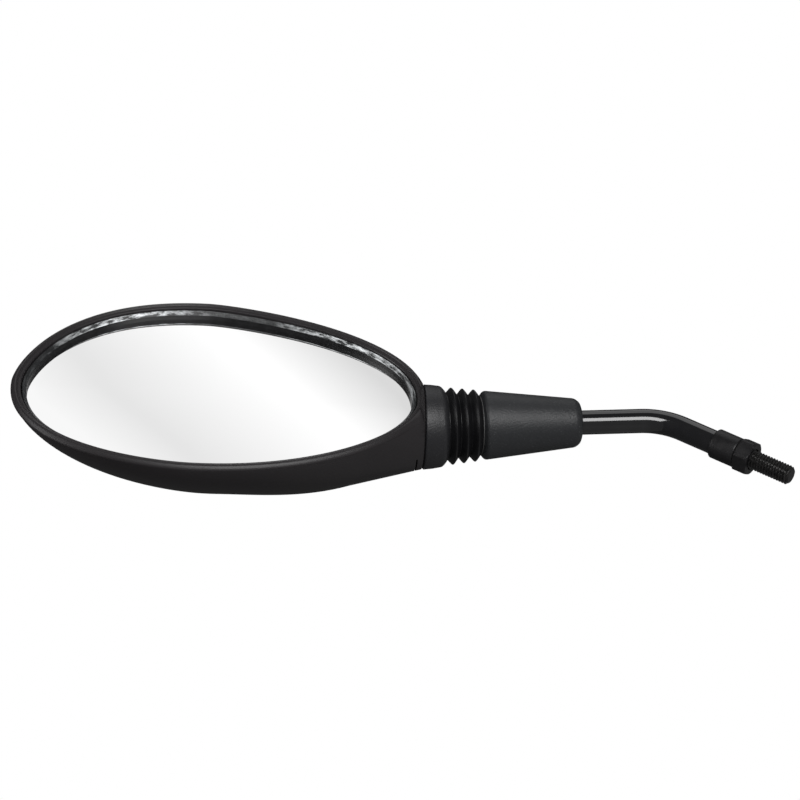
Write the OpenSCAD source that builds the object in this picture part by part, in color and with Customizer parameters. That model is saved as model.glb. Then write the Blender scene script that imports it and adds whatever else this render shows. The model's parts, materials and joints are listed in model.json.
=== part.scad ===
// Wing mirror for a motorcycle: oval head on a bent stem, turned by a hidden ball joint.
// Origin on the stud axis at the lock nut's lower face; +Z runs up the stud into the stem.

/* [Mount stud and nut] */
// stud thread diameter
stud_d = 8; // [6:1:8]
// free stud below the lock nut
stud_len = 17.7; // [12:0.5:30]
// lock nut across flats
nut_af = 13; // [13:0.5:15]
// lock nut height
nut_h = 6.4; // [5:0.2:8]
// ferrule diameter
ferrule_d = 12.5; // [12:0.5:15]
// ferrule height
ferrule_h = 11.5; // [10:0.5:16]

/* [Stem] */
// stem tube diameter
stem_d = 10; // [9.6:0.2:11]
// stem tube wall
stem_wall = 1.5; // [1.2:0.1:1.8]
// height of the bend apex over the nut's lower face
apex_z = 42.6; // [38:0.5:60]
// bend angle of the neck
bend = 41.6; // [30:0.5:48]
// centre-line radius of the bend
bend_r = 25; // [18:0.5:32]

/* [Sleeve and boot] */
// apex to the sleeve's small end
sleeve_from = 34.5; // [30:0.5:45]
// sleeve length
sleeve_len = 40.5; // [38:0.5:44]
// sleeve diameter at the small end
sleeve_d1 = 19.6; // [18.6:0.2:20.6]
// sleeve diameter at the boot
sleeve_d2 = 28.3; // [28:0.1:29]
// boot length
boot_len = 14.3; // [14:0.1:15.5]
// first rib diameter, beside the sleeve
rib_d1 = 29.6; // [29:0.1:30.4]
// last rib diameter, beside the collar
rib_d3 = 31.7; // [31:0.1:32.4]
// diameter at the valleys between ribs
valley_d = 26.6; // [26.2:0.1:27.4]
// boot wall
boot_wall = 1.2; // [1:0.1:1.4]
// collar length
collar_len = 8.6; // [8:0.1:10]
// collar diameter at the housing
collar_d = 34.7; // [34:0.1:36]
// collar taper on diameter
collar_taper = 1.5; // [1:0.1:2]

/* [Ball joint] */
// ball diameter
ball_d = 15; // [14.4:0.1:15.2]
// liner thickness
liner_t = 1.45; // [1.3:0.05:1.6]
// running clearance of the sliding faces
run_gap = 0.05; // [0.03:0.01:0.07]
// ball centre from the sleeve's large end
ball_off = 9; // [8.8:0.1:9.4]
// socket outer diameter
socket_d = 22.6; // [22.4:0.1:23]
// neck diameter of the ball stud
ball_neck_d = 6.4; // [6:0.1:6.8]

/* [Housing] */
// head length of the housing from the collar to its far tip
head_far = 169; // [160:0.5:180]
// widest station
head_wide = 93; // [88:0.5:98]
// half width over the axis
head_top = 62; // [57:0.5:66]
// half width under the axis
head_low = 53.6; // [50:0.2:58]
// lean of the head against the neck axis
head_lean = 7.7; // [6.5:0.1:9]
// bowl depth behind the lip
bowl_depth = 40.4; // [38:0.2:44]
// lip edge in front of the neck axis
lip_front = 13.8; // [13.6:0.1:14.6]
// fall of the lip from its outer edge to the opening
lip_fall = 0.7; // [0.4:0.1:1]
// lip width
lip_w = 5.6; // [5.2:0.1:6.4]
// wall at the back of the bowl
bowl_wall = 2.6; // [2.2:0.1:3]
// drain slit width
slit_w = 1.2; // [1:0.1:2]

/* [Mirror] */
// glass below the lip's edge
glass_deep = 5.2; // [4.6:0.1:5.2]
// glass thickness
glass_t = 2; // [1.8:0.1:2.2]
// soft pad thickness
pad_t = 1; // [0.8:0.1:1.2]
// backing plate thickness
plate_t = 2; // [1.8:0.1:2.2]
// gap between the glass edge and the opening
glass_gap = 0.9; // [0.7:0.1:1.2]
// crown of the convex glass
glass_crown = 1.2; // [0.8:0.1:1.4]

/* [Hidden] */
$fn = 72;
eps = 0.02;
stud_r = stud_d/2;
neck_r = stud_r - 0.2;
tube_r = stem_d/2;
bore_r = tube_r - stem_wall;
ferrule_z = nut_h + 0.3;
tube_from = ferrule_z + 3.5;
bend_t = bend_r*tan(bend/2);
sleeve_to = sleeve_from + sleeve_len;
tube_to = sleeve_to - 5;
collar_from = sleeve_to + boot_len;
head_from = collar_from + collar_len;
ball_z = sleeve_to + ball_off;
ball_r = ball_d/2;
liner_r = ball_r + run_gap + liner_t;
cup_r = liner_r + 0.8;
socket_r = socket_d/2;
socket_bore = cup_r + run_gap;
seat_r = liner_r + run_gap;
cup_to = ball_z + liner_r + 1.2;
washer_to = cup_to + 1.2;
spring_to = washer_to + 3.2;
plug_to = spring_to + 2.8;
socket_to = plug_to;
ring_z = sleeve_to + 0.9;
wall_in = 2.1;
lip_y = -lip_front + lip_fall;
glass_y = lip_y + glass_deep;
pad_y = glass_y + glass_t;
plate_y = pad_y + pad_t;
ledge_y = plate_y + plate_t;
bowl_y = -lip_front;
pole_s = 85;
rail_y = 6.2;
rail_from = 39;
screw_z = [rail_from + 4, rail_from + 24];

// frames: neck has z along the neck axis from the bend apex, head has z along the head
module neck() { translate([0, 0, apex_z]) rotate([0, -bend, 0]) children(); }
module head() { neck() translate([0, 0, head_from]) rotate([0, head_lean, 0]) children(); }

// outline of the head, in (along, across)
function bez(a, b, c, d, t) = pow(1-t, 3)*a + 3*pow(1-t, 2)*t*b + 3*(1-t)*t*t*c + t*t*t*d;
function side(s0, s1, h, ka, kb) = [[s0, 0], [s0, ka*h], [s1-(s1-s0)*kb, h], [s1, h]];
QN = 16;
q_nt = side(0.2, head_wide, head_top, 0.795, 0.132);
q_ft = side(head_far, head_wide, head_top, 0.219, 0.803);
q_fl = side(head_far, head_wide, -head_low, 0.829, 0.277);
q_nl = side(0.2, head_wide, -head_low, 0.441, 0.584);
function qp(q, t) = bez(q[0], q[1], q[2], q[3], t);
PLAN = concat([for (i = [0:QN-1]) qp(q_nt, i/QN)], [for (i = [0:QN-1]) qp(q_ft, 1-i/QN)],
  [for (i = [0:QN-1]) qp(q_fl, i/QN)], [for (i = [0:QN-1]) qp(q_nl, 1-i/QN)]);
N = 4*QN;
function unit2(v) = v/norm(v);
function turn(v) = [v[1], -v[0]];
function inset(P, d) = [for (i = [0:N-1]) P[i] + d*turn(unit2(P[(i+1)%N] - P[(i+N-1)%N]))];
// fullness of the bowl: squarer towards the collar
function full_at(g) = g > 0 ? 1.68 + 1.215*g*g : 1.68 + 0.1*g;
function full(p) = full_at((pole_s - p[0])/pole_s);
// outline at depth d of a bowl that is dep deep
function bowl_ring(P, dep, d) = [for (p = P) let(n = full(p), c = pow(1 - pow(d/dep, n), 1/n),
  q = [pole_s, 0] + (p - [pole_s, 0])*c) [q[1], bowl_y + d, q[0]]];
function flat_ring(P, y) = [for (p = P) [p[1], y, p[0]]];
// closed skin through the rings, flat first ring, last ring closed on the pole point
module skin(rings, pole) {
  M = len(rings);
  pts = concat([for (r = rings) each r], [pole]);
  polyhedron(pts, concat([[for (i = [N-1:-1:0]) i]],
    [for (j = [0:M-2], i = [0:N-1]) let(a = j*N+i, b = j*N+(i+1)%N) [a, b, b+N]],
    [for (j = [0:M-2], i = [0:N-1]) let(a = j*N+i, b = j*N+(i+1)%N) [a, b+N, a+N]],
    [for (i = [0:N-1]) [(M-1)*N+i, (M-1)*N+(i+1)%N, M*N]]), convexity = 4);
}
DEEP = [0.03, 0.09, 0.18, 0.29, 0.42, 0.55, 0.68, 0.79, 0.88, 0.945, 0.985];
module bowl_outer() skin(concat(
  [flat_ring(inset(PLAN, 0.8), bowl_y)], [flat_ring(inset(PLAN, 0.2), bowl_y + 0.18)],
  [flat_ring(PLAN, bowl_y + 0.5)],
  [for (k = DEEP) bowl_ring(PLAN, bowl_depth, max(0.8, k*bowl_depth))]),
  [0, bowl_y + bowl_depth, pole_s]);
CORE = [0, 0.06, 0.14, 0.26, 0.4, 0.54, 0.67, 0.79, 0.88, 0.945, 0.985];
// rounded body with outline P and depth dep, from depth d0 on
module bowl_core(P, dep, d0) skin([for (k = CORE) bowl_ring(P, dep, d0 + k*(dep - d0))],
  [0, bowl_y + dep, pole_s]);
module bowl_inner() bowl_core(inset(PLAN, lip_w + 2.2), bowl_depth - bowl_wall, ledge_y - bowl_y);
// opening: the lip falls inward, a straight wall to the glass seat, a step to the plate's ledge
module opening() skin([flat_ring(inset(PLAN, lip_w*0.5), bowl_y - 4),
  flat_ring(inset(PLAN, lip_w*0.52), bowl_y + 0.05), flat_ring(inset(PLAN, lip_w), lip_y),
  flat_ring(inset(PLAN, lip_w + 0.05), pad_y + 0.01), flat_ring(inset(PLAN, lip_w + 3.3), pad_y + 0.01),
  flat_ring(inset(PLAN, lip_w + 3.3), ledge_y + 0.01)], [0, ledge_y + 0.01, pole_s]);
// plate of the opening's shape, from y0 to y1
module oval(d, y0, y1) translate([0, y1, 0]) rotate([90, 0, 0])
  linear_extrude(y1 - y0) polygon([for (p = inset(PLAN, d)) [p[1], p[0]]]);
module along_y(x, y0, y1, z, r) translate([x, y0, z]) rotate([-90, 0, 0])
  cylinder(h = y1 - y0, r = r);

// arc points in (r, z): polar angle counted from the stem side
function arc(r, a0, a1, n = 16) = [for (i = [0:n]) let(a = a0 + (a1-a0)*i/n)
  [r*sin(a), ball_z - r*cos(a)]];

// solid rod along the stem, each straight run lapped over the bend's end, e longer at both tips
module stem_path(r, e) {
  translate([0, 0, tube_from - e]) cylinder(h = apex_z - bend_t - tube_from + 0.3 + e, r = r);
  translate([-bend_r, 0, apex_z - bend_t]) rotate([90, 0, 0]) rotate_extrude(angle = bend)
    translate([bend_r, 0]) circle(r = r - 0.01);
  neck() translate([0, 0, bend_t - 0.3]) cylinder(h = tube_to - bend_t + 0.3 + e, r = r);
}
module stem_tube() color([0.05, 0.05, 0.06]) {
  difference() {
    stem_path(tube_r, 0);
    stem_path(bore_r, 1);
  }
}
module stud_fitting() color([0.1, 0.1, 0.11]) rotate_extrude() polygon([
  [0, -stud_len], [stud_r - 1, -stud_len], [stud_r, 1 - stud_len], [stud_r, 0], [neck_r, 0],
  [neck_r, ferrule_z - 1], [stud_r - 0.6, ferrule_z - 1], [stud_r - 0.6, ferrule_z],
  [ferrule_d/2 - 0.5, ferrule_z], [ferrule_d/2, ferrule_z + 0.5],
  [ferrule_d/2, ferrule_z + ferrule_h - 0.6], [ferrule_d/2 - 0.6, ferrule_z + ferrule_h],
  [tube_r + eps, ferrule_z + ferrule_h], [tube_r + eps, tube_from - eps], [0, tube_from - eps]]);
module lock_nut() color([0.08, 0.08, 0.09]) {
  ac = nut_af/cos(30)/2;
  difference() {
    intersection() {
      cylinder(h = nut_h, r = ac, $fn = 6);
      rotate_extrude() polygon([[0, 0], [nut_af/2, 0], [ac + 0.1, 0.75], [ac + 0.1, nut_h - 0.75],
        [nut_af/2, nut_h], [0, nut_h]]);
    }
    translate([0, 0, -1]) cylinder(h = nut_h + 2, r = stud_r + 0.04);
    translate([0, 0, -eps]) cylinder(h = 0.5, r1 = stud_r + 0.5, r2 = stud_r + 0.04);
  }
}
module ball_stud() color([0.6, 0.6, 0.62]) neck() difference() {
  rotate_extrude() polygon(concat([[0, tube_to - 16], [bore_r - 0.5, tube_to - 16],
    [bore_r - eps, tube_to - 15.5], [bore_r - eps, tube_to + eps], [tube_r - 0.4, tube_to + eps],
    [tube_r - 0.4, tube_to + 2], [ball_neck_d/2, tube_to + 3]],
    arc(ball_r, asin(ball_neck_d/ball_d), 156, 26), [[0, ball_z - ball_r*cos(156)]]));
  translate([0, 0, ball_z + 3]) cylinder(h = 9, r = 1.6);
}
module taper_sleeve() color([0.09, 0.09, 0.1]) neck() {
  r1 = sleeve_d1/2; r2 = sleeve_d2/2; k = (r2 - r1)/sleeve_len;
  rotate_extrude() polygon([[tube_r + 0.04, sleeve_from], [r1 - 3, sleeve_from],
    [r1 - 1.2, sleeve_from + 0.6], [r1 - 0.2, sleeve_from + 1.8], [r1 + k*3, sleeve_from + 3],
    [r2 - 0.4, sleeve_to - 0.6], [r2 - 0.7, sleeve_to], [r2 - wall_in, sleeve_to],
    [r1 - wall_in + k*12, sleeve_from + 12], [tube_r + 0.04, sleeve_from + 12]]);
}
module sleeve_bush() color([0.2, 0.2, 0.2]) neck() {
  r1 = sleeve_d1/2 - wall_in; r2 = sleeve_d2/2 - wall_in; k = (r2 - r1)/sleeve_len;
  difference() {
    rotate_extrude() polygon([[tube_r + eps, tube_to - 12], [r1 + k*(sleeve_len - 17) - 0.03, tube_to - 12],
      [r2 - 0.03, sleeve_to], [r2 - 2.6, sleeve_to], [r2 - 2.6, ring_z + 0.9], [r2 - 4, ring_z + 0.9],
      [r2 - 4, tube_to + 1], [tube_r + eps, tube_to - 1]]);
    for (a = [0:60:300]) rotate([0, 0, a]) translate([tube_r + 2.6, 0, tube_to - 13])
      cylinder(h = 9, r = 1.2);
  }
}
module boot_ring() color([0.3, 0.3, 0.3]) neck() {
  r = sleeve_d2/2 - wall_in - 2.58;
  rotate_extrude() polygon([[r, ring_z], [r + 2.5, ring_z], [r + 2.5, ring_z + 0.5],
    [r + 2.2, ring_z + 0.9], [r, ring_z + 0.9]]);
}
// three ribs: outer skin and the same path one wall further in
rib_p = (boot_len - 0.9)/3;
function rib_r(i) = (rib_d1 + (rib_d3 - rib_d1)*i/2)/2;
function rib(i, d) = [for (a = [-140:20:120]) [valley_d/2 + d
  + (rib_r(i) - valley_d/2)*(0.5 + 0.5*cos(a*9/7)), sleeve_to + 0.45 + rib_p*(i + 0.5 + a/280)]];
module bellows() color([0.06, 0.06, 0.06]) neck() {
  v = valley_d/2;
  outer = concat(rib(0, 0), rib(1, 0), rib(2, 0));
  inner = concat(rib(0, -boot_wall), rib(1, -boot_wall), rib(2, -boot_wall));
  n = len(outer);
  rotate_extrude() polygon(concat([[sleeve_d2/2 - wall_in - 2.56, sleeve_to + eps], [v, sleeve_to + eps]],
    outer, [[v, collar_from - eps], [v - boot_wall - 0.4, collar_from - eps]],
    [for (i = [n-1:-1:0]) inner[i]],
    [[v - boot_wall, ring_z - eps], [sleeve_d2/2 - wall_in - 2.56, ring_z - eps]]));
}
module ball_liner() color([0.9, 0.9, 0.85]) neck() rotate_extrude()
  polygon(concat(arc(liner_r, 46, 148, 24), arc(ball_r + run_gap, 148, 46, 24)));
module pressure_cup() color([0.55, 0.55, 0.57]) neck() {
  a0 = 180 - acos(1.6/seat_r); 
  rotate_extrude() polygon(concat([[cup_r, cup_to], [cup_r, ball_z + 1.6]],
    arc(seat_r, a0 - 0.01 < 96 ? 100 : a0, 150, 14), [[4.5, cup_to]]));
}
module ball_socket() color([0.5, 0.5, 0.52]) neck() rotate_extrude() polygon(concat(
  [[socket_r, socket_to], [socket_r, ball_z - 3.2], [socket_r - 1.6, ball_z - 4.7]],
  arc(seat_r, 53, 88, 12), [[socket_bore, ball_z], [socket_bore, socket_to]]));
module thrust_washer() color([0.7, 0.7, 0.7]) neck() translate([0, 0, cup_to + eps])
  difference() { cylinder(h = 1.16, r = cup_r - 0.1); translate([0, 0, -1]) cylinder(h = 4, r = 5); }
// four disc springs back to back, each a shallow cone
module disc_springs() color([0.6, 0.6, 0.62]) neck() for (i = [0:3]) {
  z = washer_to + 0.8*i; s = i%2 == 0;
  rotate_extrude() polygon(s ? [[5, z + 0.3], [9.6, z], [9.6, z + 0.48], [5, z + 0.78]]
    : [[5, z], [9.6, z + 0.3], [9.6, z + 0.78], [5, z + 0.48]]);
}
module tension_plug() color([0.45, 0.45, 0.47]) neck() translate([0, 0, spring_to]) difference() {
  cylinder(h = plug_to - spring_to - eps, r = socket_bore - eps);
  translate([0, 0, -1]) cylinder(h = 9, r = 3.02);
}
module neck_collar() color([0.11, 0.11, 0.12]) neck() {
  r2 = collar_d/2; r1 = r2 - collar_taper/2;
  rotate_extrude() polygon([[socket_r + eps, collar_from], [r1 - 2, collar_from],
    [r1 - 0.5, collar_from + 0.9], [r1, collar_from + 1.6], [r2, head_from - 0.5],
    [r2 - 0.35, head_from - eps], [socket_r + eps, head_from - eps]]);
}
// bowl drawn out to the round seat of the collar, with a short cone in front of the lip
module shell_outside() {
  hull() {
    head() bowl_outer();
    intersection() {
      neck() translate([0, 0, head_from]) cylinder(h = 0.4, r = collar_d/2 - 0.05);
      neck() translate([-25, bowl_y, head_from - 1]) cube([50, 50, 3]);
    }
  }
  neck() translate([0, 0, head_from]) cylinder(h = 2.4, r1 = collar_d/2 - 0.1, r2 = lip_front - 0.2);
}
module housing_shell() color([0.1, 0.1, 0.105]) {
  difference() {
    union() {
      difference() {
        shell_outside();
        head() opening();
        head() bowl_inner();
      }
      intersection() {
        neck() for (x = [-12, 12], z = screw_z) along_y(x, rail_y + 2.22, 40, head_from + z, 3.4);
        head() bowl_core(inset(PLAN, 1.3), bowl_depth - bowl_wall/2, 1);
      }
    }
    neck() translate([0, 0, head_from - 1]) cylinder(h = socket_to - head_from + 1.3, r = socket_r + 0.06);
    neck() intersection() {
      translate([0, 0, head_from]) cylinder(h = socket_to - head_from + 2.8, r = socket_r + 0.1);
      translate([-25, -5.6, head_from]) cube([50, 50, 30]);
    }
    neck() translate([0, 0, head_from - 20]) cylinder(h = 20 + eps, r = 40);
    neck() translate([0, 0, head_from + 1]) cylinder(h = 22, r = 6.2);
    neck() translate([-7.8, rail_y - 0.4, head_from + 3]) cube([15.6, 3, 22]);
    neck() for (x = [-12, 12], z = screw_z) along_y(x, rail_y, 12.6, head_from + z, 1.53);
    neck() translate([0, 0, head_from + 3.6]) rotate([0, 0, 118]) rotate_extrude(angle = 45)
      translate([collar_d/2 - 1.2, 0]) square([4, slit_w]);
  }
}
module support_bracket() color([0.35, 0.36, 0.38]) neck() difference() {
  union() {
    intersection() {
      translate([0, 0, socket_to + eps]) cylinder(h = 2.2, r = socket_r);
      translate([-20, -5.4, socket_to - 1]) cube([40, 5.4 + rail_y + 2.2, 9]);
    }
    translate([-7.2, rail_y, socket_to + eps]) cube([14.4, 2.2, head_from + rail_from + 28 - socket_to]);
    translate([-15.5, rail_y, head_from + rail_from]) cube([31, 2.2, 28]);
    for (x = [-17.5, 15.5]) translate([x, rail_y - 5, head_from + rail_from]) cube([2, 7.2, 28]);
  }
  translate([0, 0, socket_to - 1]) cylinder(h = 9, r = 3.1);
  for (x = [-12, 12], z = screw_z) along_y(x, rail_y - 3, rail_y + 4, head_from + z, 1.7);
}
module clamp_bolt() color([0.65, 0.65, 0.67]) neck() {
  translate([0, 0, spring_to - 1.5]) cylinder(h = socket_to + 2.24 - spring_to + 1.5, r = 3);
  translate([0, 0, socket_to + 2.24]) cylinder(h = 4, r = 4.6/cos(30), $fn = 6);
}
module bracket_screws() color([0.7, 0.7, 0.72]) neck() {
  for (x = [-12, 12], z = screw_z) difference() {
    union() {
      along_y(x, rail_y - 2.02, rail_y - 0.02, head_from + z, 2.6);
      along_y(x, rail_y - 1, 12.4, head_from + z, 1.5);
    }
    translate([x, rail_y - 2.1, head_from + z]) cube([0.8, 1.2, 5], center = true);
  }
}
module socket_room() neck() translate([0, 0, head_from - 5])
  cylinder(h = socket_to - head_from + 13.5, r = socket_r + 0.6);
module backing_plate() color([0.2, 0.2, 0.2]) {
  difference() {
    head() oval(lip_w + 3.6, plate_y + eps, ledge_y - eps);
    socket_room();
  }
}
module foam_pad() color([0.3, 0.3, 0.3]) {
  difference() {
    head() oval(lip_w + 4.2, pad_y + eps, plate_y);
    socket_room();
  }
}
// glass outline drawn in towards the middle by k, at depth y
GLASS = inset(PLAN, lip_w + glass_gap);
function drawn(k, y) = [for (p = GLASS) let(q = [pole_s, 0] + (p - [pole_s, 0])*k)
  [q[1], -y, q[0]]];
module mirror_glass() color([0.8, 0.82, 0.85]) head() mirror([0, 1, 0])
  skin(concat([drawn(1, pad_y)],
    [for (k = [1, 0.85, 0.7, 0.55, 0.4, 0.25, 0.1]) drawn(k, glass_y - glass_crown*(1 - k*k))]),
    [0, glass_crown - glass_y, pole_s]);
module glass_seal() color([0.05, 0.05, 0.05]) {
  difference() {
    head() oval(lip_w + 0.05 + eps, glass_y + 0.2, pad_y);
    head() oval(lip_w + glass_gap - eps, glass_y - 1, pad_y + 1);
  }
}

stem_tube();
stud_fitting();
lock_nut();
ball_stud();
taper_sleeve();
sleeve_bush();
boot_ring();
bellows();
ball_liner();
pressure_cup();
ball_socket();
thrust_washer();
disc_springs();
tension_plug();
neck_collar();
housing_shell();
support_bracket();
clamp_bolt();
bracket_screws();
backing_plate();
foam_pad();
mirror_glass();
glass_seal();
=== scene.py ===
import json
import math

import bmesh
import bpy
from mathutils import Matrix, Vector
from mathutils.geometry import convex_hull_2d as geometryHull


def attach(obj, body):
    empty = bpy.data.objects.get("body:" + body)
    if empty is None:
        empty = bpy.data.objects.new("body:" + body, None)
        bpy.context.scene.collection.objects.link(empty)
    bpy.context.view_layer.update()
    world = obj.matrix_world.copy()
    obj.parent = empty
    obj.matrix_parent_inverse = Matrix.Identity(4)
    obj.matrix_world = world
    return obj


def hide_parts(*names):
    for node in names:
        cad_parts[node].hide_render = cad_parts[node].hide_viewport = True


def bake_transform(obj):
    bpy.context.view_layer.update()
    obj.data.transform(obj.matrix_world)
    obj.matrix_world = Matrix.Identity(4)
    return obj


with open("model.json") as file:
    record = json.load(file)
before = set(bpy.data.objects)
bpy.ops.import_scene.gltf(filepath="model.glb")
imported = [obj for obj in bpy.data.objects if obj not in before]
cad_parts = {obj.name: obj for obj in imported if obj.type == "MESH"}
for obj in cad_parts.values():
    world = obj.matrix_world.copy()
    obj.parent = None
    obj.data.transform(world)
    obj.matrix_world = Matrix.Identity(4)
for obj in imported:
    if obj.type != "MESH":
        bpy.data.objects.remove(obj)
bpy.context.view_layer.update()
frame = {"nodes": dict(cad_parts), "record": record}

# sizes in millimetres, the same as in the solid model; z runs up the stud from the nut's lower face
size = {
    "studR": 4.0, "studLen": 17.7, "pitch": 1.25, "nutFlats": 13.0, "nutH": 6.4,
    "ferruleR": 6.25, "ferruleH": 11.5, "stemR": 5.0, "apexZ": 42.6, "bend": 41.6, "bendR": 25.0,
    "sleeveFrom": 34.5, "sleeveLen": 40.5, "sleeveR1": 9.8, "sleeveR2": 14.15, "bootLen": 14.3,
    "collarLen": 8.6, "collarR": 17.35, "socketR": 11.3, "lean": 7.7,
}
sleeveTo = size["sleeveFrom"] + size["sleeveLen"]
collarFrom = sleeveTo + size["bootLen"]
headFrom = collarFrom + size["collarLen"]
neckFrame = Matrix.Translation((0, 0, size["apexZ"])) @ Matrix.Rotation(-math.radians(size["bend"]), 4, "Y")
headFrame = neckFrame @ Matrix.Translation((0, 0, headFrom))
headFrame = headFrame @ Matrix.Rotation(math.radians(size["lean"]), 4, "Y")
stemFrame = Matrix.Identity(4)
# the seam between collar and housing leans half as far as the head does
seamRise = 1.85
seamLean = Matrix.Rotation(math.radians(size["lean"] / 2), 4, "Y")
seamFrame = neckFrame @ Matrix.Translation((0, 0, headFrom + seamRise)) @ seamLean
bootShift = 1.0  # sleeve end, boot and collar stand this much nearer the head than in the solid model


def inRow(where, point):  # millimetres in one of the frames above become metres in the shared frame
    return (where @ Vector(point)) * 0.001


class Field:  # a number in a shader: Python's operators on it add Math nodes

    def __init__(self, tree, socket):
        self.tree = tree
        self.socket = socket

    def blendWith(self, kind, other=None, swap=False):
        node = self.tree.nodes.new("ShaderNodeMath")
        node.operation = kind
        for place, value in zip(node.inputs, (other, self) if swap else (self, other)):
            if isinstance(value, Field):
                self.tree.links.new(value.socket, place)
            elif value is not None:
                place.default_value = value
        return Field(self.tree, node.outputs[0])

    def __add__(self, other):
        return self.blendWith("ADD", other)

    def __radd__(self, other):
        return self.blendWith("ADD", other, True)

    def __sub__(self, other):
        return self.blendWith("SUBTRACT", other)

    def __rsub__(self, other):
        return self.blendWith("SUBTRACT", other, True)

    def __mul__(self, other):
        return self.blendWith("MULTIPLY", other)

    def __rmul__(self, other):
        return self.blendWith("MULTIPLY", other, True)

    def magnitude(self):
        return self.blendWith("ABSOLUTE")

    def least(self, other):
        return self.blendWith("MINIMUM", other)

    def most(self, other):
        return self.blendWith("MAXIMUM", other)

    def clipped(self):
        return self.most(0.0).least(1.0)


def addNode(tree, kind, settings=(), inputs=()):
    node = tree.nodes.new(kind)
    for key, value in dict(settings).items():
        setattr(node, key, value)
    for key, value in dict(inputs).items():
        if isinstance(value, Field):
            value = value.socket
        if isinstance(value, bpy.types.NodeSocket):
            tree.links.new(value, node.inputs[key])
        else:
            node.inputs[key].default_value = value
    return node


class Look:

    def __init__(self, name, settings):
        self.material = bpy.data.materials.new(name)
        self.material.use_nodes = True
        self.tree = self.material.node_tree
        self.shader = self.tree.nodes["Principled BSDF"]
        for key, value in settings.items():
            self.shader.inputs[key].default_value = value
        self.place = self.node("ShaderNodeTexCoord").outputs["Object"]

    def node(self, kind, settings=(), inputs=()):
        return addNode(self.tree, kind, settings, inputs)

    def noise(self, scale, detail=2.0, rough=0.5):
        made = self.node("ShaderNodeTexNoise", {}, {
            "Vector": self.place, "Scale": scale, "Detail": detail, "Roughness": rough})
        return Field(self.tree, made.outputs["Fac"])

    def cells(self, scale):
        made = self.node("ShaderNodeTexVoronoi", {}, {"Vector": self.place, "Scale": scale})
        return Field(self.tree, made.outputs["Distance"])

    def part(self, axis):
        made = self.node("ShaderNodeSeparateXYZ", {}, {0: self.place})
        return Field(self.tree, made.outputs[axis])

    def drive(self, key, value):
        self.tree.links.new(value.socket, self.shader.inputs[key])

    def flecks(self, scale, level):  # sparse light specks, where fine noise passes the level
        return ((self.noise(scale, 2, 0.6) - level) * 9).clipped()

    def tint(self, value, low, high):
        made = self.node("ShaderNodeMix", {"data_type": "RGBA"}, {0: value, 6: (*low, 1), 7: (*high, 1)})
        self.tree.links.new(made.outputs[2], self.shader.inputs["Base Color"])

    def bump(self, value, strength, distance):
        made = self.node("ShaderNodeBump", {}, {"Height": value, "Strength": strength, "Distance": distance})
        self.tree.links.new(made.outputs[0], self.shader.inputs["Normal"])


def glossBlackLook():
    look = Look("gloss_black", {
        "Roughness": 0.09, "Coat Weight": 0.7, "Coat Roughness": 0.04, "Specular IOR Level": 0.45})
    cloud = look.noise(160)
    look.tint(cloud, (0.006, 0.006, 0.007), (0.013, 0.013, 0.014))
    look.drive("Roughness", 0.06 + cloud * 0.09)
    look.bump(look.noise(420, 3), 0.12, 0.00006)
    return look


def blackZincLook():
    look = Look("black_zinc", {"Metallic": 0.4, "Specular IOR Level": 0.4})
    cloud = look.noise(300, 4)
    speck = look.cells(2600)
    look.tint(cloud, (0.008, 0.008, 0.009), (0.024, 0.023, 0.024))
    look.drive("Roughness", 0.26 + cloud * 0.22)
    look.bump(speck + cloud * 0.6, 0.35, 0.00005)
    return look


def threadLook():
    look = Look("black_zinc_thread", {"Metallic": 0.75})
    speck = look.cells(3800)
    cloud = look.noise(900, 4, 0.7)
    look.tint((cloud - 0.3) * 2, (0.012, 0.012, 0.0125), (0.075, 0.073, 0.071))
    look.drive("Roughness", 0.24 + cloud * 0.14)
    look.bump(speck, 0.12, 0.00005)
    return look


def sleeveLook():
    look = Look("sleeve_plastic", {"Specular IOR Level": 0.5})
    grain = look.cells(1500)
    cloud = look.noise(220, 3)
    look.tint(look.flecks(2400, 0.66), (0.016, 0.017, 0.019), (0.12, 0.125, 0.13))
    look.drive("Roughness", 0.42 + cloud * 0.12)
    look.bump(grain + cloud * 0.5, 0.6, 0.00012)
    return look


def collarLook():
    look = Look("collar_plastic", {"Specular IOR Level": 0.5})
    cloud = look.noise(120, 3)
    look.tint(look.flecks(1500, 0.68), (0.013, 0.013, 0.015), (0.09, 0.1, 0.1))
    look.drive("Roughness", 0.38 + cloud * 0.14)
    look.bump(look.cells(1300) + cloud * 0.5, 0.5, 0.0001)
    return look


def bootLook():
    look = Look("boot_rubber", {"Specular IOR Level": 0.3})
    cloud = look.noise(260, 3)
    look.tint(cloud, (0.004, 0.004, 0.0046), (0.008, 0.008, 0.009))
    look.drive("Roughness", 0.3 + cloud * 0.16)
    look.bump(look.noise(1500, 3), 0.25, 0.00006)
    return look


def housingLook():
    look = Look("housing_plastic", {"Specular IOR Level": 0.34})
    cloud = look.noise(35, 3)
    grain = look.noise(2600, 2, 0.6)
    look.tint(cloud, (0.0165, 0.0148, 0.016), (0.0235, 0.021, 0.0225))
    look.drive("Roughness", 0.36 + cloud * 0.1)
    look.bump(grain, 0.3, 0.00006)
    return look


def mirrorLook():
    look = Look("mirror", {"Metallic": 1.0, "Specular IOR Level": 0.5})
    cloud = look.noise(14, 2)
    look.tint(cloud, (0.94, 0.94, 0.94), (0.955, 0.955, 0.955))
    look.drive("Roughness", 0.012 + cloud * 0.012)
    look.bump(look.noise(18, 2), 0.02, 0.0002)
    return look


# the glass edge's painted highlight and glow: where it is painted, in metres along the neck and across it,
# and how fast it fades there
paintedGlowSpec = {
    "upFrom": 0.028, "upGain": 150, "full": 1.35, "farAt": 0.2475, "farGain": 38,
    "nearAt": 0.1585, "nearGain": 46, "stretch": (230, 900, 90), "streakFrom": 0.43, "streakGain": 4.5,
    "least": 0.05,
}


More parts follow.
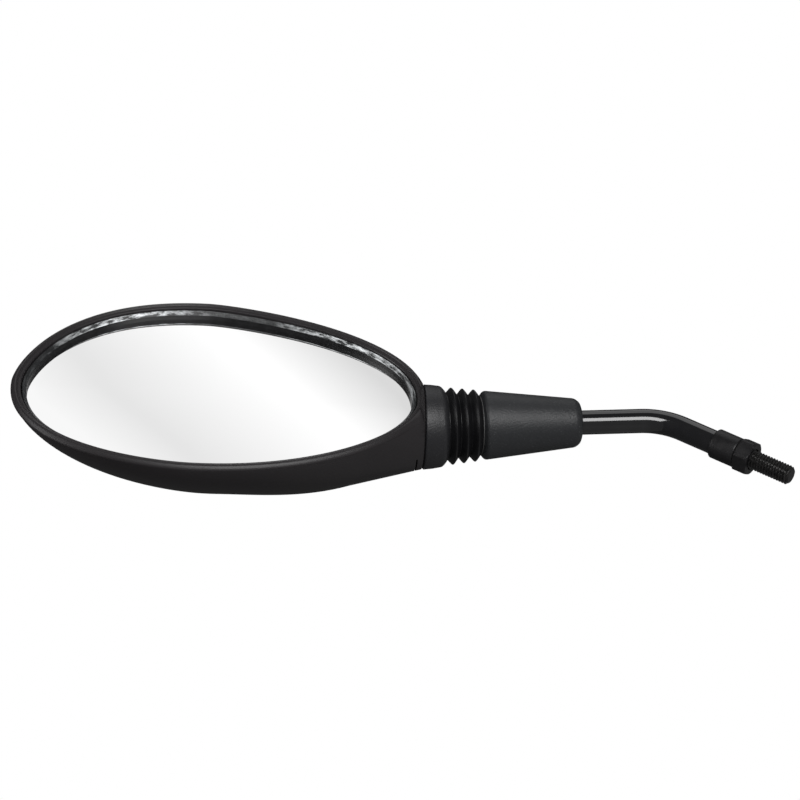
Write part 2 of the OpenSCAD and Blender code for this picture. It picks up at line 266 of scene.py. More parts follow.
def glassEdgeLook():
    # painted glow: the ground glass edge emits light though it is no lamp
    look = Look("glass_edge", {"Metallic": 0.1, "Specular IOR Level": 0.6, "Emission Strength": 0.28})
    spec, lean = paintedGlowSpec, math.radians(size["bend"])
    along = look.part(2) * math.cos(lean) - look.part(0) * math.sin(lean)
    across = look.part(0) * math.cos(lean) + look.part(2) * math.sin(lean)
    upper = ((across - spec["upFrom"]) * spec["upGain"]).clipped()
    far = (spec["full"] - ((along - spec["farAt"]) * spec["farGain"]).magnitude()).clipped()
    near = (spec["full"] - ((along - spec["nearAt"]) * spec["nearGain"]).magnitude()).clipped()
    reach = spec["stretch"]
    drawn = look.node("ShaderNodeCombineXYZ", {}, {
        0: along * reach[0], 1: look.part(1) * reach[1], 2: across * reach[2]}).outputs[0]
    streak = Field(look.tree, look.node("ShaderNodeTexNoise", {}, {
        "Vector": drawn, "Scale": 1.0, "Detail": 4.0, "Roughness": 0.7}).outputs["Fac"])
    fleck = look.noise(620, 3, 0.75)
    drawnOut = ((streak - spec["streakFrom"]) * spec["streakGain"]).clipped()
    # painted highlight: the edge's colour turns lighter and glows where it is placed on the far and near
    # sides of the top edge
    paintedHighlight = drawnOut * (spec["least"] + upper * far.most(near))
    look.tint(paintedHighlight, (0.012, 0.013, 0.014), (0.62, 0.65, 0.67))
    look.drive("Emission Color", paintedHighlight)
    look.drive("Roughness", 0.25 + fleck * 0.4)
    look.bump(look.cells(1500), 0.5, 0.0002)
    return look


def plainLook(name, low, high, rough, metal=0.0):
    look = Look(name, {"Metallic": metal})
    cloud = look.noise(240, 3)
    look.tint(cloud, low, high)
    look.drive("Roughness", rough + cloud * 0.14)
    look.bump(look.noise(1200, 3), 0.3, 0.00008)
    return look


looks = {
    "gloss_black": glossBlackLook(), "black_zinc": blackZincLook(), "thread": threadLook(),
    "sleeve_plastic": sleeveLook(), "boot_rubber": bootLook(),
    "collar_plastic": collarLook(), "housing_plastic": housingLook(),
    "mirror": mirrorLook(), "glass_edge": glassEdgeLook(),
    "zinc_steel": plainLook("zinc_steel", (0.42, 0.42, 0.43), (0.55, 0.55, 0.56), 0.28, 1.0),
    "cast_zinc": plainLook("cast_zinc", (0.36, 0.36, 0.37), (0.48, 0.48, 0.49), 0.42, 1.0),
    "white_nylon": plainLook("white_nylon", (0.7, 0.69, 0.64), (0.78, 0.77, 0.72), 0.4),
    "inner_plastic": plainLook("inner_plastic", (0.05, 0.05, 0.05), (0.08, 0.08, 0.08), 0.5),
    "foam": plainLook("foam", (0.06, 0.06, 0.06), (0.1, 0.1, 0.1), 0.85),
}
for row in frame["record"]["subparts"]:
    mesh = frame["nodes"][row["node"]].data
    mesh.materials.clear()
    mesh.materials.append(looks[row["material_slot"]].material)
print("looks made")


def placePiece(name, mesh, body, stands, sharp):
    mesh.shade_smooth()
    mesh.set_sharp_from_angle(angle=math.radians(sharp))
    piece = bpy.data.objects.new(name, mesh)
    bpy.context.scene.collection.objects.link(piece)
    if body:
        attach(piece, body)
    if stands:
        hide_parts(*stands)
    return piece


def makePiece(name, points, faces, lookNames, body, stands=(), faceLook=None, sharp=35):
    mesh = bpy.data.meshes.new(name)
    mesh.from_pydata([p[:] for p in points], [], faces)
    mesh.update()
    for lookName in lookNames:
        mesh.materials.append(looks[lookName].material)
    if faceLook:
        for polygon in mesh.polygons:
            polygon.material_index = faceLook(polygon)
    return placePiece(name, mesh, body, stands, sharp)


def circle(where, radius, z, count):
    turns = [2 * math.pi * i / count for i in range(count)]
    return [inRow(where, (radius * math.cos(turn), radius * math.sin(turn), z)) for turn in turns]


def joinRings(count, first, second):
    faces = []
    for i in range(count):
        after = (i + 1) % count
        faces.append((first + i, first + after, second + after, second + i))
    return faces


def fan(count, first, tip):
    return [(first + i, first + (i + 1) % count, tip) for i in range(count)]


def ringFaces(count, rings, closed=True, start=0):
    faces = []
    for j in range(rings - 1):
        faces += joinRings(count, start + j * count, start + (j + 1) * count)
    if closed:
        faces.append(tuple(start + i for i in range(count - 1, -1, -1)))
        faces.append(tuple(start + (rings - 1) * count + i for i in range(count)))
    return faces


def roundCorners(profile, radius, steps=5):  # each corner between the ends becomes a curve
    made = [profile[0]]
    for before, here, after in zip(profile, profile[1:], profile[2:]):
        toBack, toNext = Vector(before) - Vector(here), Vector(after) - Vector(here)
        reach = min(radius, toBack.length * 0.45, toNext.length * 0.45)
        a = Vector(here) + toBack.normalized() * reach
        c = Vector(here) + toNext.normalized() * reach
        for k in range(steps + 1):
            t = k / steps
            made.append(tuple(a * (1 - t) ** 2 + Vector(here) * 2 * t * (1 - t) + c * t * t))
    return made + [profile[-1]]


def loftPiece(name, rings, lookName, body, stands, around, sharp):  # the last ring joins the first
    points = [point for where, radius, z in rings for point in circle(where, radius, z, around)]
    total, faces = len(rings), []
    for j in range(total):
        faces += joinRings(around, j * around, ((j + 1) % total) * around)
    return makePiece(name, points, faces, [lookName], body, stands, None, sharp)


# under, here and below: how far a piece's skin stays inside the solid's
stemSpec = {
    "around": 72, "along": 40, "startZ": 10.2, "lower": (14, 19, 25), "upper": (20, 34, 50),
    "endZ": sleeveTo - 5, "under": 0.002,
}


def makeStem():
    spec, bend, bendR = stemSpec, math.radians(size["bend"]), size["bendR"]
    tangent = bendR * math.tan(bend / 2)
    bendZ = size["apexZ"] - tangent
    path = [Matrix.Translation((0, 0, z)) for z in (spec["startZ"], *spec["lower"], bendZ)]
    for k in range(1, spec["along"]):
        turn = Matrix.Rotation(-bend * k / spec["along"], 4, "Y")
        path.append(Matrix.Translation((-bendR, 0, bendZ)) @ turn @ Matrix.Translation((bendR, 0, 0)))
    path += [neckFrame @ Matrix.Translation((0, 0, z)) for z in (tangent, *spec["upper"], spec["endZ"])]
    radius, around = size["stemR"] - spec["under"], spec["around"]
    points = [point for where in path for point in circle(where, radius, 0, around)]
    makePiece("stemTube", points, ringFaces(around, len(path)), ["gloss_black"], "stem",
              ("stem_tube",), None, 50)


makeStem()

threadSpec = {
    "depth": 0.68, "crest": 0.14, "flank": 0.7, "under": 0.02, "top": 5.4, "around": 64, "perTurn": 10,
    "tipR": 2.6, "chamferR": 2.95, "chamferRise": 0.95, "runOut": 0.6, "rootR": 3.35, "runOutRise": 0.2,
    "lookTop": 0.006,  # metres: the worn thread's look ends here
}
ferruleSpec = {
    "gap": 0.3, "under": 0.02, "neckR": 3.3, "foot": (0.45, 0.5), "shoulder": (0.75, 0.7), "seatGap": 0.04,
    "seatFrom": 11.0, "round": 0.35,
}


def threadRadius(phase):  # phase runs from 0 to 1 once along each turn of the thread
    wave = abs(phase - 0.5) * 2
    cut = min(1.0, max(0.0, (wave - threadSpec["crest"]) / threadSpec["flank"]))
    return size["studR"] - threadSpec["under"] - threadSpec["depth"] * cut


def makeStudFitting():
    spec, ferrule, count = threadSpec, ferruleSpec, threadSpec["around"]
    low, top = -size["studLen"], spec["top"]
    rows = int((top - low) / size["pitch"] * spec["perTurn"])
    points = circle(stemFrame, spec["tipR"], low, count)
    for j in range(rows + 1):
        z = low + (top - low) * j / rows
        for i in range(count):
            turn = 2 * math.pi * i / count
            radius = threadRadius((z / size["pitch"] - i / count) % 1.0)
            radius = min(radius, spec["chamferR"] + (z - low) * spec["chamferRise"])
            if z > top - spec["runOut"]:
                radius = min(radius, spec["rootR"] + (top - z) * spec["runOutRise"])
            points.append(inRow(stemFrame, (radius * math.cos(turn), radius * math.sin(turn), z)))
    start = size["nutH"] + ferrule["gap"]
    end = start + size["ferruleH"]
    lower, upper = start + ferrule["under"], end - ferrule["under"]
    outer, seat = size["ferruleR"], size["stemR"] + ferrule["seatGap"]
    outline = roundCorners([
        (ferrule["neckR"], top), (ferrule["neckR"], lower), (outer - ferrule["foot"][0], lower),
        (outer - ferrule["under"], start + ferrule["foot"][1]),
        (outer - ferrule["under"], end - ferrule["shoulder"][1]), (outer - ferrule["shoulder"][0], upper),
        (seat, upper), (seat, ferrule["seatFrom"])], ferrule["round"])
    for radius, z in outline:
        points += circle(stemFrame, radius, z, count)
    rings = 1 + rows + 1 + len(outline)
    threadFaces = count * (rows + 1)

    def faceLook(face):
        return int(count <= face.index < threadFaces and face.center.z < spec["lookTop"])

    makePiece("studFitting", points, ringFaces(count, rings), ["black_zinc", "thread"], "stem",
              ("stud_fitting",), faceLook, 40)


makeStudFitting()

nutSpec = {
    "corner": 0.22, "chamfer": 0.75, "face": 0.05, "around": 96, "under": 0.01, "sinkR": 4.5, "boreR": 4.06,
    "rows": [0.01, 0.08, 0.2, 0.35, 0.5, 0.65, 0.85, 1.2, 3.2], "boreRow": 3.0,
}


def makeLockNut():
    spec, count = nutSpec, nutSpec["around"]
    flat = size["nutFlats"] / 2 - spec["under"]
    corner = flat / math.cos(math.pi / 6)
    points = []

    def hexRadius(turn):
        local = (turn + math.pi / 6) % (math.pi / 3) - math.pi / 6
        return min(flat / math.cos(local), corner - spec["corner"])

    def coneRadius(z):
        reach = min(z, size["nutH"] - z)
        return flat + spec["face"] + (corner - flat) * reach / spec["chamfer"]

    heights = spec["rows"] + [size["nutH"] - z for z in reversed(spec["rows"][:-1])]
    loops = [(spec["under"], spec["sinkR"])] + [(z, None) for z in heights]
    loops += [(size["nutH"] - spec["under"], spec["boreR"]), (spec["boreRow"], spec["boreR"])]
    for z, fixed in loops:
        for i in range(count):
            turn = 2 * math.pi * (i + 0.5) / count
            radius = fixed if fixed else min(hexRadius(turn), coneRadius(z))
            points.append(inRow(stemFrame, (radius * math.cos(turn), radius * math.sin(turn), z)))
    faces = ringFaces(count, len(loops), False) + joinRings(count, (len(loops) - 1) * count, 0)
    makePiece("lockNut", points, faces, ["black_zinc"], "nut", ("lock_nut",), None, 24)


makeLockNut()
print("stem, stud and nut made")

# nose and end hold corners: how far in from that end's radius, and how far from that end
sleeveSpec = {
    "boreR": 5.06, "bore": (9, 0.3), "nose": [(3.1, 0.02), (1.25, 0.65), (0.25, 1.85)], "flankFrom": 3.0,
    "under": 0.02, "end": [(0.0, 1.5), (1.9, 0.02), (2.6, 0.3)], "inside": (2.7, 6), "round": 1.3,
}


def makeSleeve():
    spec, r1, r2 = sleeveSpec, size["sleeveR1"], size["sleeveR2"]
    low, high = size["sleeveFrom"], sleeveTo
    slope = (r2 - r1) / size["sleeveLen"]
    outline = [(spec["boreR"], low + z) for z in spec["bore"]]
    outline += [(r1 - less, low + z) for less, z in spec["nose"]]
    outline.append((r1 + slope * spec["flankFrom"] - spec["under"], low + spec["flankFrom"]))
    outline += [(r2 - less, high + bootShift - z) for less, z in spec["end"]]
    outline.append((r2 - spec["inside"][0], high - spec["inside"][1]))
    rings = [(neckFrame, radius, z) for radius, z in roundCorners(outline, spec["round"], 7)]
    loftPiece("taperSleeve", rings, "sleeve_plastic", "stem", ("taper_sleeve",), 160, 30)


makeSleeve()

# ribs and valleys are diameters
bootSpec = {
    "ribs": [29.5, 30.5, 31.5], "valleys": [23.9, 24.9, 25.5, 27.2], "edge": 0.25, "tip": 0.13,
    "under": 0.04, "wall": 1.0, "gap": 0.03, "perRib": 30, "around": 144,
}


def bootRadius(z):
    pitch = (size["bootLen"] - 2 * bootSpec["edge"]) / 3
    local = min(2.9999, max(0.0, (z - sleeveTo - bootShift - bootSpec["edge"]) / pitch))  # in ribs
    index = int(local)
    share = 2 * (local - index) - 1
    valleys, tip = bootSpec["valleys"], bootSpec["tip"]
    low = valleys[index] + (valleys[index + 1] - valleys[index]) * (local - index)
    fall = (math.sqrt(share * share + tip * tip) - tip) / (math.sqrt(1 + tip * tip) - tip)
    return (low + (bootSpec["ribs"][index] - low) * (1 - fall) - bootSpec["under"]) / 2


def makeBoot():
    low, high = sleeveTo + bootShift + bootSpec["gap"], collarFrom + bootShift - bootSpec["gap"]
    mid = low + (high - low) * 2 / 3  # the halves meet in the valley before the last rib
    for name, start, end, first, second in (
            ("bootStemHalf", low, mid, "stem", "liner"), ("bootHeadHalf", mid, high, "liner", "cup")):
        steps = bootSpec["perRib"] * (2 if first == "stem" else 1)
        heights = [start + (end - start) * k / steps for k in range(steps + 1)]
        outer = [(bootRadius(z), z) for z in heights]
        inner = [(radius - bootSpec["wall"], z) for radius, z in reversed(outer)]
        rings = [(neckFrame, radius, z) for radius, z in outer + inner]
        piece = loftPiece(name, rings, "boot_rubber", None, (), bootSpec["around"], 50)
        inRow(neckFrame, (0, 0, start))
        inRow(neckFrame, (0, 0, end))
        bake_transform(piece)
        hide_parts("bellows")


makeBoot()

# swell holds corners: how far out from the small end's radius, and how far along
# seam holds how far in from the wide end's radius, and how far past the seam
collarSpec = {
    "taper": 1.4, "under": 0.03, "boreGap": 0.4, "foot": 0.02, "round": 0.9, "around": 192,
    "swell": [(-2.3, 0.02), (-0.1, 1.9), (0.25, 4.4), (0.45, 5.6)],
    "seam": [(0.05, -1.2), (0.0, -0.52), (0.06, -0.42), (0.75, -0.03), (0.9, 0.0)],
}


def makeCollar():
    spec, low = collarSpec, collarFrom + bootShift
    r2 = size["collarR"] - spec["under"]
    r1 = r2 - spec["taper"] / 2
    bore = size["socketR"] + spec["boreGap"]
    outline = [(bore, low + spec["foot"])] + [(r1 + more, low + z) for more, z in spec["swell"]]
    rings = [(neckFrame, radius, z) for radius, z in roundCorners(outline, spec["round"], 6)]
    rings += [(seamFrame, r2 - less, z) for less, z in spec["seam"]] + [(seamFrame, bore, 0.0)]
    loftPiece("neckCollar", rings, "collar_plastic", "head", ("neck_collar",),
              spec["around"], 40)


makeCollar()
print("sleeve, boot and collar made")

# the head's outline is four curves; nearTop and the like hold how long a curve's two handles are, as shares
headSpec = {
    "near": 0.2, "far": 169.0, "wide": 93.0, "top": 62.0, "low": 53.6, "perQuarter": 48,
    "nearTop": (0.795, 0.132), "farTop": (0.219, 0.803), "farLow": (0.829, 0.277), "nearLow": (0.441, 0.584),
    "poleS": 85.0, "depth": 40.4, "full": 1.68, "fullNear": 1.215, "fullFar": 0.1,
    "front": -13.8, "lipFall": 0.7, "lipW": 4.3,
    "glassDeep": 4.3, "glassT": 2.0, "glassGap": 0.5, "crown": 1.2,
}
lipY = headSpec["front"] + headSpec["lipFall"]
glassY = lipY + headSpec["glassDeep"]


def quarter(s0, s1, height, shape, t):
    a, b, c, d = (s0, 0), (s0, shape[0] * height), (s1 - (s1 - s0) * shape[1], height), (s1, height)
    weights = ((1 - t) ** 3, 3 * (1 - t) ** 2 * t, 3 * (1 - t) * t * t, t ** 3)
    return Vector([sum(weight * point[k] for weight, point in zip(weights, (a, b, c, d))) for k in (0, 1)])


def headPlan():
    spec, steps, made = headSpec, headSpec["perQuarter"], []
    near, far, wide = spec["near"], spec["far"], spec["wide"]
    made += [quarter(near, wide, spec["top"], spec["nearTop"], i / steps) for i in range(steps)]
    made += [quarter(far, wide, spec["top"], spec["farTop"], 1 - i / steps) for i in range(steps)]
    made += [quarter(far, wide, -spec["low"], spec["farLow"], i / steps) for i in range(steps)]
    made += [quarter(near, wide, -spec["low"], spec["nearLow"], 1 - i / steps) for i in range(steps)]
    return made


plan = headPlan()


def sideways(outline):
    total = len(outline)
    lines = [(outline[(i + 1) % total] - outline[i - 1]).normalized() for i in range(total)]
    return [Vector((along[1], -along[0])) for along in lines]


def inset(outline, reach):
    return [point + reach * side for point, side in zip(outline, sideways(outline))]


def flatRing(reach, y):
    return [(p[1], y, p[0]) for p in inset(plan, reach)]


def fullness(point):  # the power of the bowl's curve: higher is squarer, and it grows towards the neck
    g = (headSpec["poleS"] - point[0]) / headSpec["poleS"]
    if g > 0:
        return headSpec["full"] + headSpec["fullNear"] * g * g
    return headSpec["full"] + headSpec["fullFar"] * g


def bowlRing(reach, depth, angle, y):  # angle 0 is the rim, a quarter turn the pole of the bowl
    pole, made = Vector((headSpec["poleS"], 0)), []
    for p in inset(plan, reach):
        k = 2 / fullness(p)
        q = pole + (p - pole) * math.cos(angle) ** k
        made.append((q[1], y + depth * math.sin(angle) ** k, q[0]))
    return made


# the fairing is the hull that runs the bowl's back into the round neck; lead is its rounded edge at the seam
fairingSpec = {
    "radius": size["collarR"] - 0.05, "around": 288, "lead": [(0.8, 0.02), (0.05, 0.42), (0.0, 0.55)],
    "chop": 1.75, "rimIn": 0.17, "bowlIn": 0.1, "bowlLess": 0.12, "hullFrom": 3.4, "hullTurn": 86.0,
    "rows": 46, "reach": 140.0, "endCut": 6, "seamZ": 0.03, "sideZ": 0.5, "front": -0.93, "sharp": 32,
    "slitAt": 2.75, "slitW": 0.6, "slitFrom": 112, "slitTo": 171, "slitDeep": 1.6,
}


def onSeam(point):
    return seamFrame.inverted() @ (Vector(point) * 1000)


def crossing(outline, point, way):  # how far from the point, along the way, the outline is crossed last
    best = 0.0
    total = len(outline)
    for i in range(total):
        a, b = outline[i], outline[(i + 1) % total]
        edge = b - a
        det = way[0] * -edge[1] + edge[0] * way[1]
        if abs(det) < 1e-9:
            continue
        gap = a - point
        t = (gap[0] * -edge[1] + edge[0] * gap[1]) / det
        k = (way[0] * gap[1] - way[1] * gap[0]) / det
        if t > best and -1e-6 <= k <= 1 + 1e-6:
            best = t
    return best


def widen(outline, y):  # the outline pushed out to the hull of itself and the neck's two sides
    reachX = math.sqrt(fairingSpec["radius"] ** 2 - y ** 2)
    corners = []
    for x in (-reachX, reachX):
        spot = headFrame.inverted() @ (inRow(seamFrame, (x, 0, fairingSpec["sideZ"])) * 1000)
        corners.append(Vector((spot.z, spot.x)))
    cloud = list(outline) + corners
    around = [cloud[i] for i in geometryHull(cloud)]
    return [point - side * crossing(around, point, -side) for point, side in zip(outline, sideways(outline))]


def wideRing(reach, y):
    spots = [point + reach * side for point, side in zip(widen(plan, y), sideways(plan))]
    return [(spot[1], y, spot[0]) for spot in spots]


def headPoints(rings):
    return [inRow(headFrame, p) for ring in rings for p in ring]


# the lip from its inner edge outwards, each point with a height: edge in millimetres past the lip's width,
# bead in shares of that width, round in millimetres in from the outline
housingSpec = {
    "under": 0.04, "edge": [(0.06, 0.7), (-0.02, 0.24), (-0.22, 0.06)],
    "bead": [(0.9, 0.68), (0.78, 0.48), (0.7, 0.28), (0.675, 0.1), (0.65, -0.1),
             (0.61, -0.18), (0.57, -0.1), (0.54, 0.08), (0.47, 0.12), (0.36, 0.2)],
    "round": [(1.3, 0.42), (0.75, 0.86), (0.4, 1.35), (0.2, 1.8), (0.2, 2.1)],
    "steps": 46, "bowlIn": 0.02, "bowlFrom": 5.6, "bowlTurn": 84.0,
    "wall": 2.3, "innerDepth": 27.0, "innerSteps": 12, "innerFrom": 8, "innerTurn": 80,
}


def makeHousing():
    spec, front, width, count = housingSpec, headSpec["front"], headSpec["lipW"], len(plan)
    bottom = glassY + headSpec["glassT"] - 0.05
    rim = [(width + spec["edge"][0][0], bottom)] + [(width + more, lipY + y) for more, y in spec["edge"]]
    rim += [(width * share, front + y) for share, y in spec["bead"]]
    rings = [flatRing(reach, y) for reach, y in rim]
    rings += [wideRing(reach, front + y) for reach, y in spec["round"]]
    for k in range(spec["steps"]):
        turn = math.radians(spec["bowlFrom"] + spec["bowlTurn"] * k / spec["steps"])
        rings.append(bowlRing(spec["bowlIn"], headSpec["depth"] - spec["under"], turn, front))
    points = headPoints(rings)
    points.append(inRow(headFrame, (0, front + headSpec["depth"] - spec["under"], headSpec["poleS"])))
    faces = ringFaces(count, len(rings), False) + fan(count, (len(rings) - 1) * count, len(points) - 1)
    start, reach = len(points), width + spec["wall"]
    innerRings = [flatRing(reach, bottom + 0.02)]
    for k in range(spec["innerSteps"] + 1):
        turn = math.radians(spec["innerFrom"] + spec["innerTurn"] * k / spec["innerSteps"])
        innerRings.append(bowlRing(reach, spec["innerDepth"], turn, bottom + 0.4))
    points += headPoints(innerRings)
    faces += [tuple(reversed(face)) for face in ringFaces(count, len(innerRings), False, start)]
    faces += joinRings(count, start, 0)
    tail = start + (len(innerRings) - 1) * count
    faces.append(tuple(tail + i for i in range(count - 1, -1, -1)))
    makePiece("housingShell", points, faces, ["housing_plastic"], "head",
              ("housing_shell",), None, 38)


makeHousing()


def seatCloud(lowest):  # the round edge at the seam, flattened where it would stand out past lowest
    made = []
    for less, z in fairingSpec["lead"]:
        radius = fairingSpec["radius"] - less
        for k in range(fairingSpec["around"]):
            turn = 2 * math.pi * k / fairingSpec["around"]
            made.append(inRow(seamFrame, (radius * math.cos(turn), max(radius * math.sin(turn), lowest), z)))
    return made


def hullShape(cloud):
    shape = bmesh.new()
    for p in cloud:
        shape.verts.new(p)
    bmesh.ops.convex_hull(shape, input=shape.verts)
    bmesh.ops.delete(shape, geom=[v for v in shape.verts if not v.link_faces], context="VERTS")
    shape.normal_update()
    return shape


def placeShape(name, shape):
    mesh = bpy.data.meshes.new(name)
    shape.normal_update()
    shape.to_mesh(mesh)
    shape.free()
    mesh.materials.append(looks["housing_plastic"].material)
    placePiece(name, mesh, "head", ("housing_shell",), fairingSpec["sharp"])
    return mesh


def cutFront(shape):  # the hull's open side, its end at the seam and its far end go
    spec, gone = fairingSpec, []
    end = spec["reach"] - spec["endCut"]
    for face in shape.faces:
        middle = face.calc_center_median()
        far = (headFrame.inverted() @ (middle * 1000)).z
        if face.normal.y < spec["front"] or onSeam(middle).z < spec["seamZ"] or far > end:
            gone.append(face)
    bmesh.ops.delete(shape, geom=gone, context="FACES")


def cutSlit(shape):
    spec, upright = fairingSpec, seamFrame.to_3x3() @ Vector((0, 0, 1))
    low, high = spec["slitAt"], spec["slitAt"] + spec["slitW"]
    for z in (low, high):
        bmesh.ops.bisect_plane(shape, geom=shape.verts[:] + shape.edges[:] + shape.faces[:],
                               plane_co=inRow(seamFrame, (0, 0, z)), plane_no=upright)
    for degrees in (spec["slitFrom"], spec["slitTo"]):
        turn = math.radians(degrees)
        way = seamFrame.to_3x3() @ Vector((-math.sin(turn), math.cos(turn), 0))
        inside = [f for f in shape.faces if low < onSeam(f.calc_center_median()).z < high]
        parts = {item for f in inside for item in (*f.verts, *f.edges, f)}
        bmesh.ops.bisect_plane(shape, geom=list(parts), plane_co=inRow(seamFrame, (0, 0, 0)), plane_no=way)
    window = set()
    for face in shape.faces:
        here = onSeam(face.calc_center_median())
        turn = math.degrees(math.atan2(here.y, here.x))
        if low < here.z < high and spec["slitFrom"] < turn < spec["slitTo"]:
            window.add(face)
    ends = []
    for edge in shape.edges:
        inWindow = [face in window for face in edge.link_faces]
        if any(inWindow) and not all(inWindow):
            ends.append(tuple(edge.verts))
    bmesh.ops.delete(shape, geom=list(window), context="FACES_ONLY")
    moved = {}
    for pair in ends:
        for v in pair:
            if v not in moved:
                here = onSeam(v.co)
                inner = here - Vector((here.x, here.y, 0)).normalized() * spec["slitDeep"]
                moved[v] = shape.verts.new(inRow(seamFrame, inner))
        a, b = pair
        shape.faces.new((a, b, moved[b], moved[a]))
    return len(window)


def makeFairing():
    spec = fairingSpec
    chop = headSpec["front"] + spec["chop"]
    cloud = [inRow(headFrame, p) for p in wideRing(spec["rimIn"], chop) if p[2] < spec["reach"]]
    for k in range(spec["rows"]):
        turn = math.radians(spec["hullFrom"] + spec["hullTurn"] * k / spec["rows"])
        ring = bowlRing(spec["bowlIn"], headSpec["depth"] - spec["bowlLess"], turn, headSpec["front"])
        cloud += [inRow(headFrame, p) for p in ring if p[2] < spec["reach"] and p[1] > chop]
    shape = hullShape(cloud + seatCloud(chop))
    cutFront(shape)
    found = cutSlit(shape)
    mesh = placeShape("housingFairing", shape)
    print("fairing:", len(mesh.polygons), "faces,", found, "in the slit")


seatSpec = {"inside": 2.4, "until": 4.0, "rise": 0.25, "noLimit": -99}


def makeSeat():  # closes the neck between the seam's round edge and the lip
    spec = seatSpec
    spots = [spot for spot in inset(plan, spec["inside"]) if spot[0] < spec["until"]]
    cloud = [inRow(headFrame, (spot[1], headSpec["front"] + spec["rise"], spot[0])) for spot in spots]
    placeShape("housingSeat", hullShape(seatCloud(spec["noLimit"]) + cloud))


makeFairing()
makeSeat()

# bevel is how far in the ground edge slopes; edge and foot are how far above the mirror it starts and ends
glassSpec = {"rings": 30, "bevel": 1.7, "edge": 3.35, "foot": 2.0}


def makeGlass():
    outline = inset(plan, headSpec["lipW"] + headSpec["glassGap"] + 0.02)
    pole, count = Vector((headSpec["poleS"], 0)), len(plan)
    crown, back = headSpec["crown"] - 0.02, glassY + headSpec["glassT"] - 0.02

    def ring(k, y, reach=0.0):
        drawn = []
        for p in outline:
            away = p - pole
            q = pole + away * k - away.normalized() * reach
            drawn.append((q[1], y, q[0]))
        return drawn

    bevel, foot, top = glassSpec["bevel"], glassY - glassSpec["foot"], glassY - glassSpec["edge"]
    rings = [ring(1, back), ring(1, top + 0.1), ring(1, top, 0.1), ring(1, foot, bevel - 0.08),
             ring(1, foot + 0.1, bevel), ring(1, glassY + 0.03, bevel)]
    groundFaces, edgeFaces = (len(rings) - 3) * count, (len(rings) - 1) * count
    for j in range(1, glassSpec["rings"]):
        k = 1 - j / glassSpec["rings"]
        rings.append(ring(k, glassY + 0.02 - crown * (1 - k * k), bevel * k))
    points = headPoints(rings)
    points.append(inRow(headFrame, (0, glassY + 0.02 - crown, headSpec["poleS"])))
    faces = ringFaces(count, len(rings), False) + fan(count, (len(rings) - 1) * count, len(points) - 1)
    faces.append(tuple(range(count - 1, -1, -1)))

    def faceLook(face):
        if face.index < groundFaces:
            return 1
        return 2 if face.index < edgeFaces else 0

    makePiece("mirrorGlass", points, faces, ["mirror", "glass_edge", "boot_rubber"], "head",
              ("mirror_glass",), faceLook, 30)


makeGlass()

sealSpec = {"low": 0.28, "high": 1.9}


def makeSeal():
    outer, inner = headSpec["lipW"] + 0.08, headSpec["lipW"] + headSpec["glassGap"] - 0.02
    low, high = glassY + sealSpec["low"], glassY + sealSpec["high"]
    loop = [(outer, high), (outer, low - 0.12), (outer + 0.16, low),
            (inner - 0.2, low), (inner, low + 0.1), (inner, high)]
    count = len(plan)
    faces = ringFaces(count, len(loop), False) + joinRings(count, (len(loop) - 1) * count, 0)
    faces = [tuple(reversed(face)) for face in faces]
    points = headPoints([flatRing(reach, y) for reach, y in loop])
    makePiece("glassSeal", points, faces, ["boot_rubber"], "head", ("glass_seal",), None, 40)


makeSeal()
print("housing and glass made")

# the photograph's camera: focal and wide are in pixels
cameraSpec = {
    "place": (-0.94805, -0.76270, -0.43450), "focal": 3170.7, "wide": 800, "sensor": 36,
    "right": (0.5700, -0.0538, -0.8201), "up": (0.4562, -0.8094, 0.3701),
    "back": (-0.6837, -0.5849, -0.4368),
}


def aimed(place, right, up, back):
    turn = Matrix((right, up, back)).transposed().to_4x4()
    return Matrix.Translation(place) @ turn


def makeCamera():
    spec = cameraSpec
    data = bpy.data.cameras.new("photoCamera")
    data.lens = spec["focal"] / spec["wide"] * spec["sensor"]
    data.sensor_width = spec["sensor"]
    data.clip_start, data.clip_end = 0.05, 20
    data.dof.use_dof = False
    camera = bpy.data.objects.new("photoCamera", data)
    camera.matrix_world = aimed(spec["place"], spec["right"], spec["up"], spec["back"])
    bpy.context.scene.collection.objects.link(camera)
    bpy.context.scene.camera = camera


makeCamera()
lookCentre = Vector((-0.1, 0, 0.15))  # the lamps are aimed here


def inView(x, y, z):  # a direction to the camera's right, up and towards it
    right, up, back = (Vector(cameraSpec[key]) for key in ("right", "up", "back"))
    return (right * x + up * y + back * z).normalized()


lampSpec = {
    "key": {"way": (0.23, 0.43, 0.87), "far": 1.25, "wide": (0.9, 0.62), "watts": 13.0},
    "left": {"way": (-0.95, 0.25, 0.35), "far": 1.2, "wide": (0.5, 0.9), "watts": 5.0},
    "below": {"way": (0.1, -0.85, 0.25), "far": 1.3, "wide": (1.2, 0.35), "watts": 2.2, "glossy": False},
}


def makeLamps():
    for name, spec in lampSpec.items():
        way = inView(*spec["way"])
        data = bpy.data.lights.new(name + "Lamp", "AREA")
        data.shape = "RECTANGLE"
        data.size, data.size_y = spec["wide"]
        data.energy = spec["watts"]
        lamp = bpy.data.objects.new(name + "Lamp", data)
        right = Vector(cameraSpec["up"]).cross(way).normalized()
        lamp.matrix_world = aimed(lookCentre + way * spec["far"], right, way.cross(right), way)
        bpy.context.scene.collection.objects.link(lamp)
        lamp.visible_glossy = spec.get("glossy", True)


makeLamps()


floorSpec = {"half": 9, "z": -1.6}


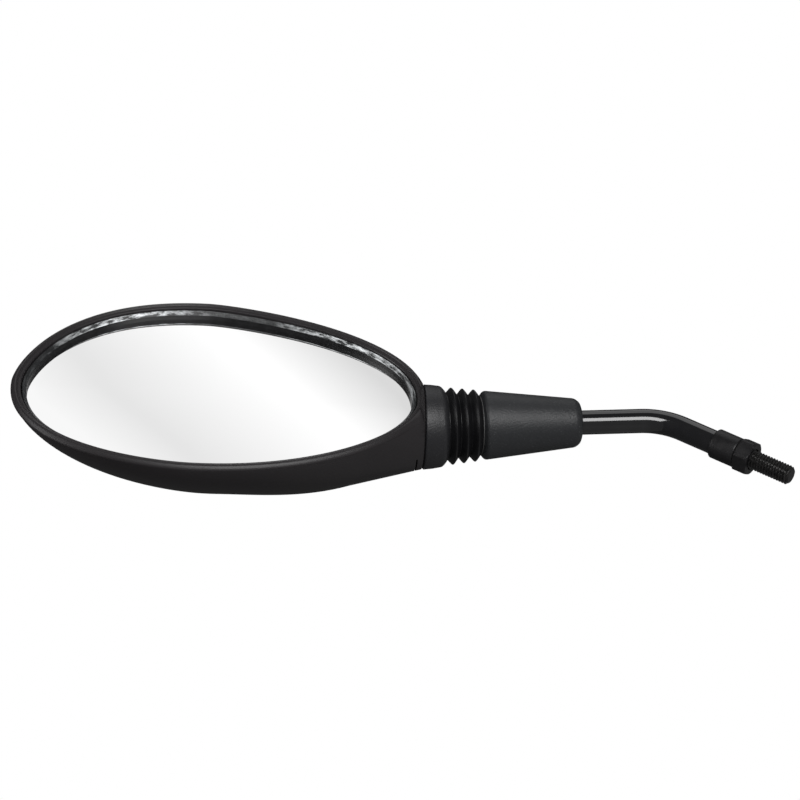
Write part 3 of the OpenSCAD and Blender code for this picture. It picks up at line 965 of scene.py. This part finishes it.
def makeFloor():
    half = floorSpec["half"]
    mesh = bpy.data.meshes.new("studioFloor")
    corners = [(-half, -half, 0), (half, -half, 0), (half, half, 0), (-half, half, 0)]
    mesh.from_pydata(corners, [], [(0, 1, 2, 3)])
    floor = bpy.data.objects.new("studioFloor", mesh)
    floor.location = (0, 0, floorSpec["z"])
    bpy.context.scene.collection.objects.link(floor)
    look = Look("studio_floor", {"Roughness": 0.9, "Base Color": (0.86, 0.86, 0.86, 1)})
    glow = look.node("ShaderNodeEmission", {}, {"Color": (1, 1, 1, 1), "Strength": 1.0})
    path = look.node("ShaderNodeLightPath")
    chosen = look.node("ShaderNodeMixShader", {}, {0: path.outputs["Is Camera Ray"]})
    look.tree.links.new(look.shader.outputs[0], chosen.inputs[1])
    look.tree.links.new(glow.outputs[0], chosen.inputs[2])
    look.tree.links.new(chosen.outputs[0], look.tree.nodes["Material Output"].inputs["Surface"])
    mesh.materials.append(look.material)


makeFloor()

# middle, across and upward are the camera's directions as the mirror turns them back, so that the mirror
# shows a paper wall with soft bands: each has where it starts, how sharply, and how much it adds or takes
worldSpec = {
    "plain": 0.19, "dark": 0.06, "middle": (0.6837, -0.5849, 0.4368), "across": (0.57, 0.0538, -0.8201),
    "upward": (0.4562, 0.8094, 0.3701), "tilt": 0.35, "paperFrom": 0.9, "paperGain": 30, "grey": 0.832,
    "left": (0.105, 13.0, 0.233), "right": (0.008, 22.0, 0.33), "edge": (0.11, -26.0, 0.16),
}


def makeWorld():
    world = bpy.data.worlds.new("studio")
    world.use_nodes = True
    bpy.context.scene.world = world
    tree = world.node_tree
    tree.nodes.clear()

    def add(kind, settings=(), inputs=()):
        return addNode(tree, kind, settings, inputs)

    place = add("ShaderNodeTexCoord").outputs["Generated"]

    def along(way):
        dot = add("ShaderNodeVectorMath", {"operation": "DOT_PRODUCT"}, {0: place, 1: way})
        return Field(tree, dot.outputs["Value"])

    spec = worldSpec
    facing = along(spec["middle"])
    slant = along(spec["across"]) + along(spec["upward"]) * spec["tilt"]

    def band(key):
        shift, gain, share = spec[key]
        return ((slant + shift) * gain).clipped() * share

    bands = spec["grey"] + band("left") - band("right") + band("edge")
    paper = ((facing - spec["paperFrom"]) * spec["paperGain"]).clipped()
    room = spec["dark"] + paper * (bands - spec["dark"])
    path = add("ShaderNodeLightPath")
    glossy = Field(tree, path.outputs["Is Glossy Ray"])
    seen = Field(tree, path.outputs["Is Camera Ray"])
    strength = seen + (1 - seen) * (glossy * room + (1 - glossy) * spec["plain"])
    shade = add("ShaderNodeBackground", {}, {"Color": (1, 1, 1, 1), "Strength": strength})
    out = add("ShaderNodeOutputWorld")
    tree.links.new(shade.outputs[0], out.inputs["Surface"])


makeWorld()
bpy.context.scene.view_settings.view_transform = "Standard"
print("stage made")
